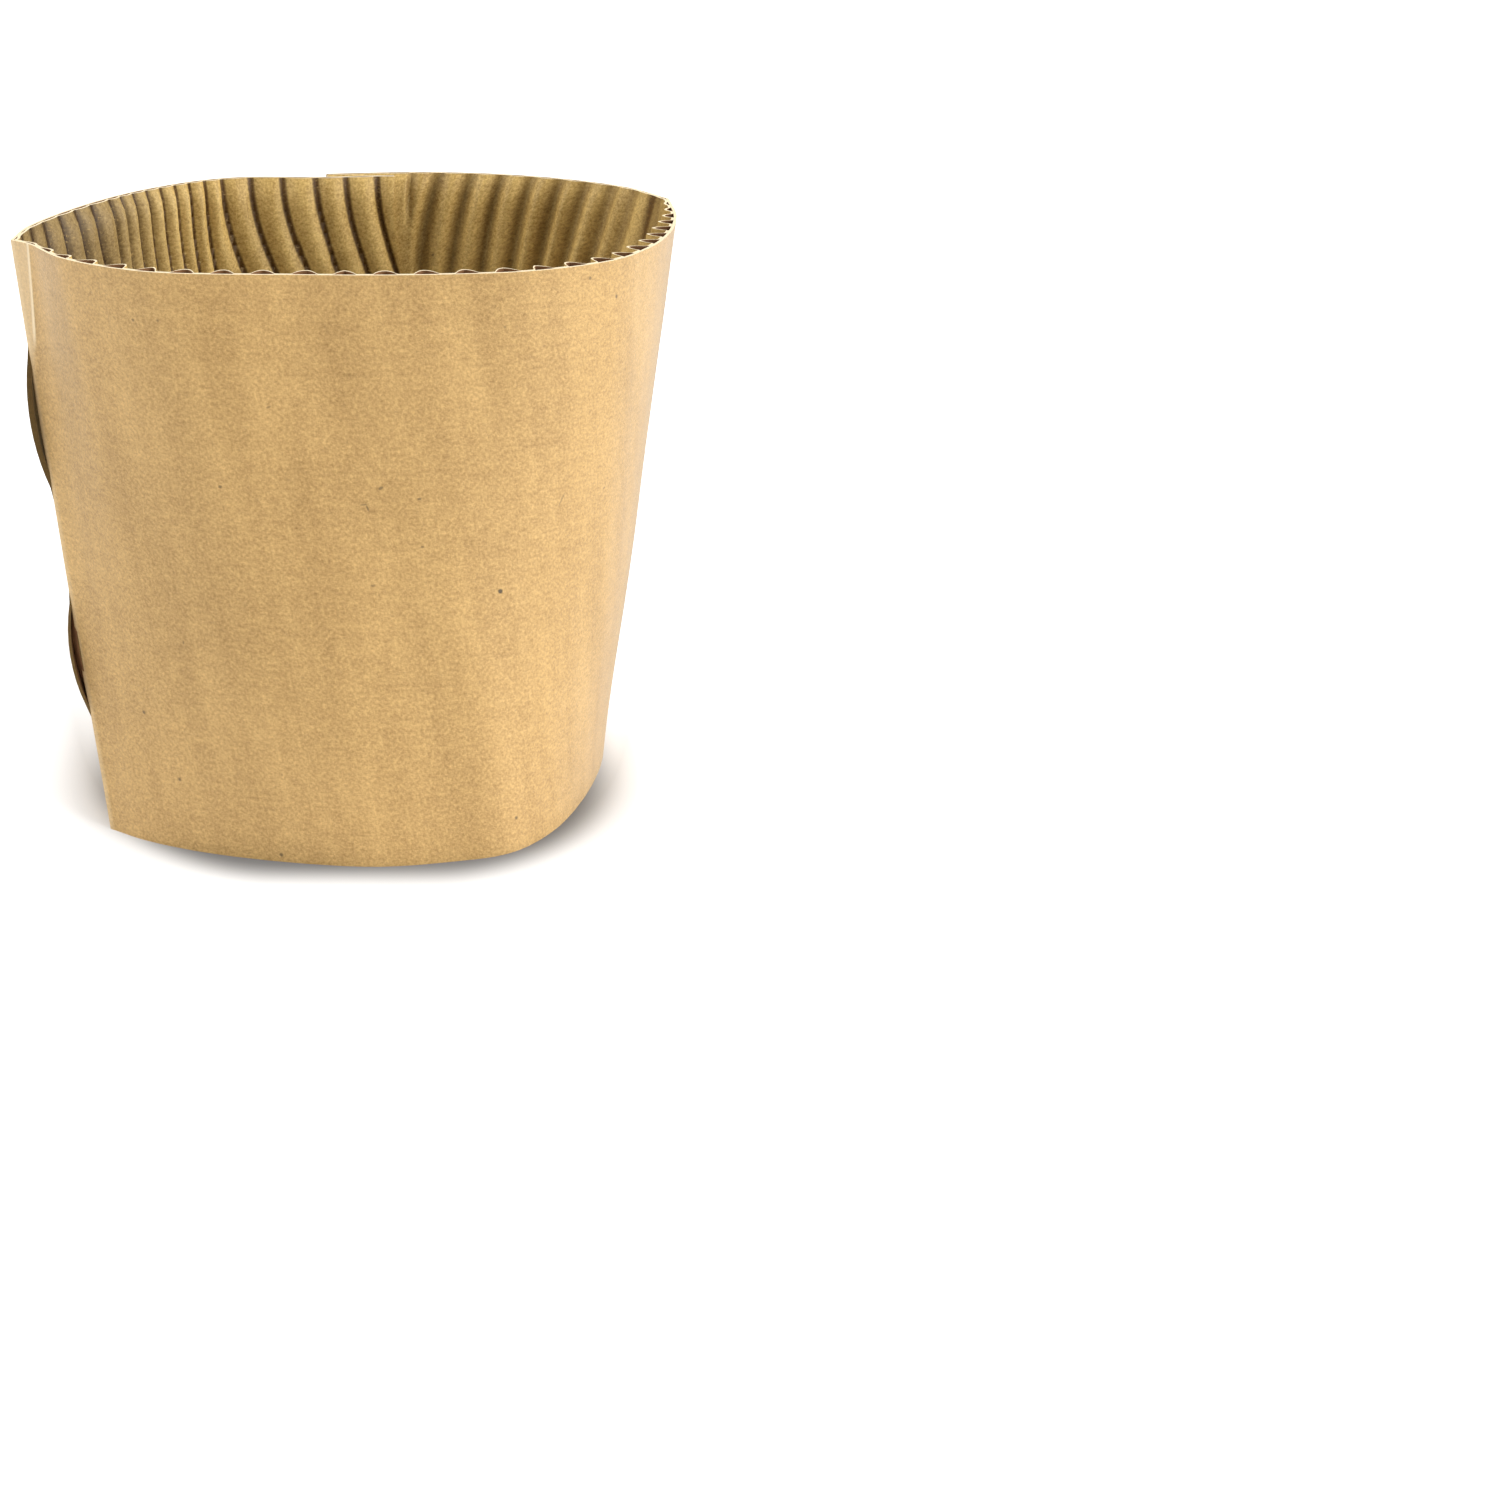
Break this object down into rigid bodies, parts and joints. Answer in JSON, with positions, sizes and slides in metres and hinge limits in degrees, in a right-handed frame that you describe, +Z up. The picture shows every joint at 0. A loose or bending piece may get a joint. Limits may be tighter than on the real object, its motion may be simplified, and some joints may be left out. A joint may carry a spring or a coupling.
{
  "type": "coffee cup sleeve",
  "caption": "Tapered sleeve of single-face corrugated kraft board, fluted inside, folded at its creases with die-cut crescents and glued at a lapped seam; it slips over a paper cup.",
  "frame": {"origin": "on the floor, at the middle of the sleeve's bounding box, under its open foot", "axes": "+Z up through the open sleeve, from the narrow rim to the wide rim; -Y towards the plain front panel, +Y towards the panel with the glued seam; one crease on the left at -X, the other at the back right"},
  "size_m": [0.066, 0.061, 0.057],
  "materials": {
    "kraft_board": "uncoated brown kraft paper, matt, with fine fibres and dark specks"
  },
  "bodies": {
    "root": {"sleeve": "kraft_board"}
  },
  "joints": []
}
